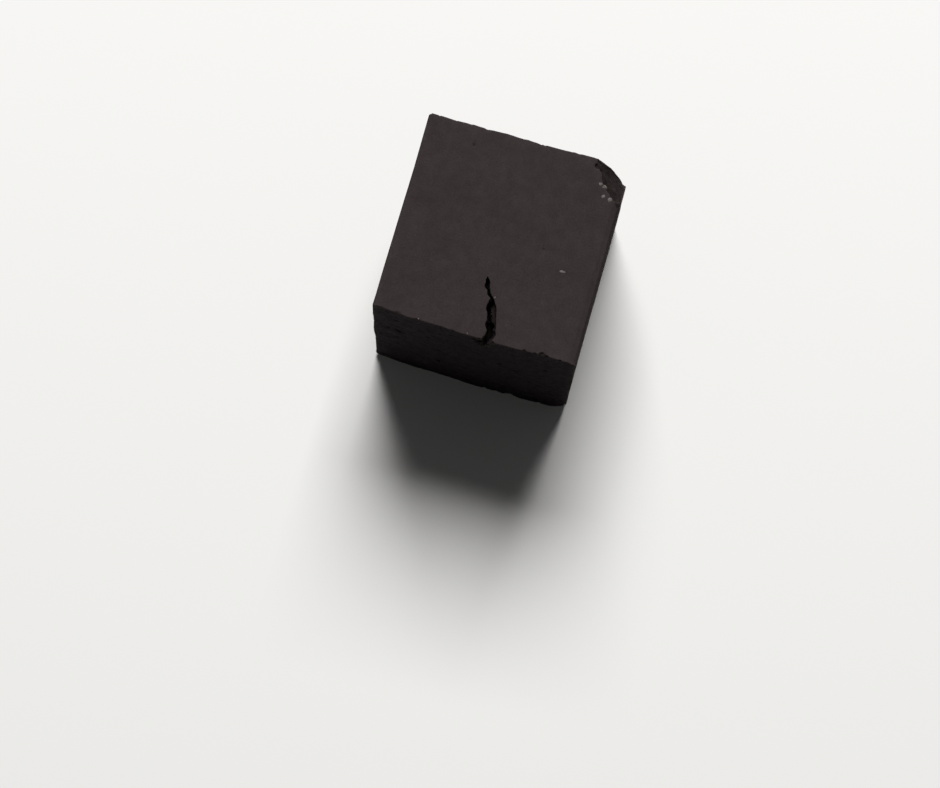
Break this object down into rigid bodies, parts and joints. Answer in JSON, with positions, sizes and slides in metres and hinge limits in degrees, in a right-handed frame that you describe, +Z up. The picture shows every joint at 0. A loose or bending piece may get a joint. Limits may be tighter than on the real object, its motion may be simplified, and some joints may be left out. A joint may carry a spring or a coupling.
{
  "type": "coconut charcoal briquette",
  "caption": "Pressed block of coconut-shell charcoal with a flat base, a crack in its top, a broken back corner and chipped edges.",
  "frame": {"origin": "middle of the block's bounding box, on the plane of its flat base", "axes": "+Z up from the flat base to the cracked top; -Y is the cut front face that the crack reaches; +X points right as seen from the front, so the broken top corner is at +X +Y"},
  "size_m": [0.0252, 0.0256, 0.0251],
  "materials": {
    "briquette": "matte, dry, brownish black charcoal"
  },
  "bodies": {
    "root": {"briquette": "briquette"}
  },
  "joints": []
}
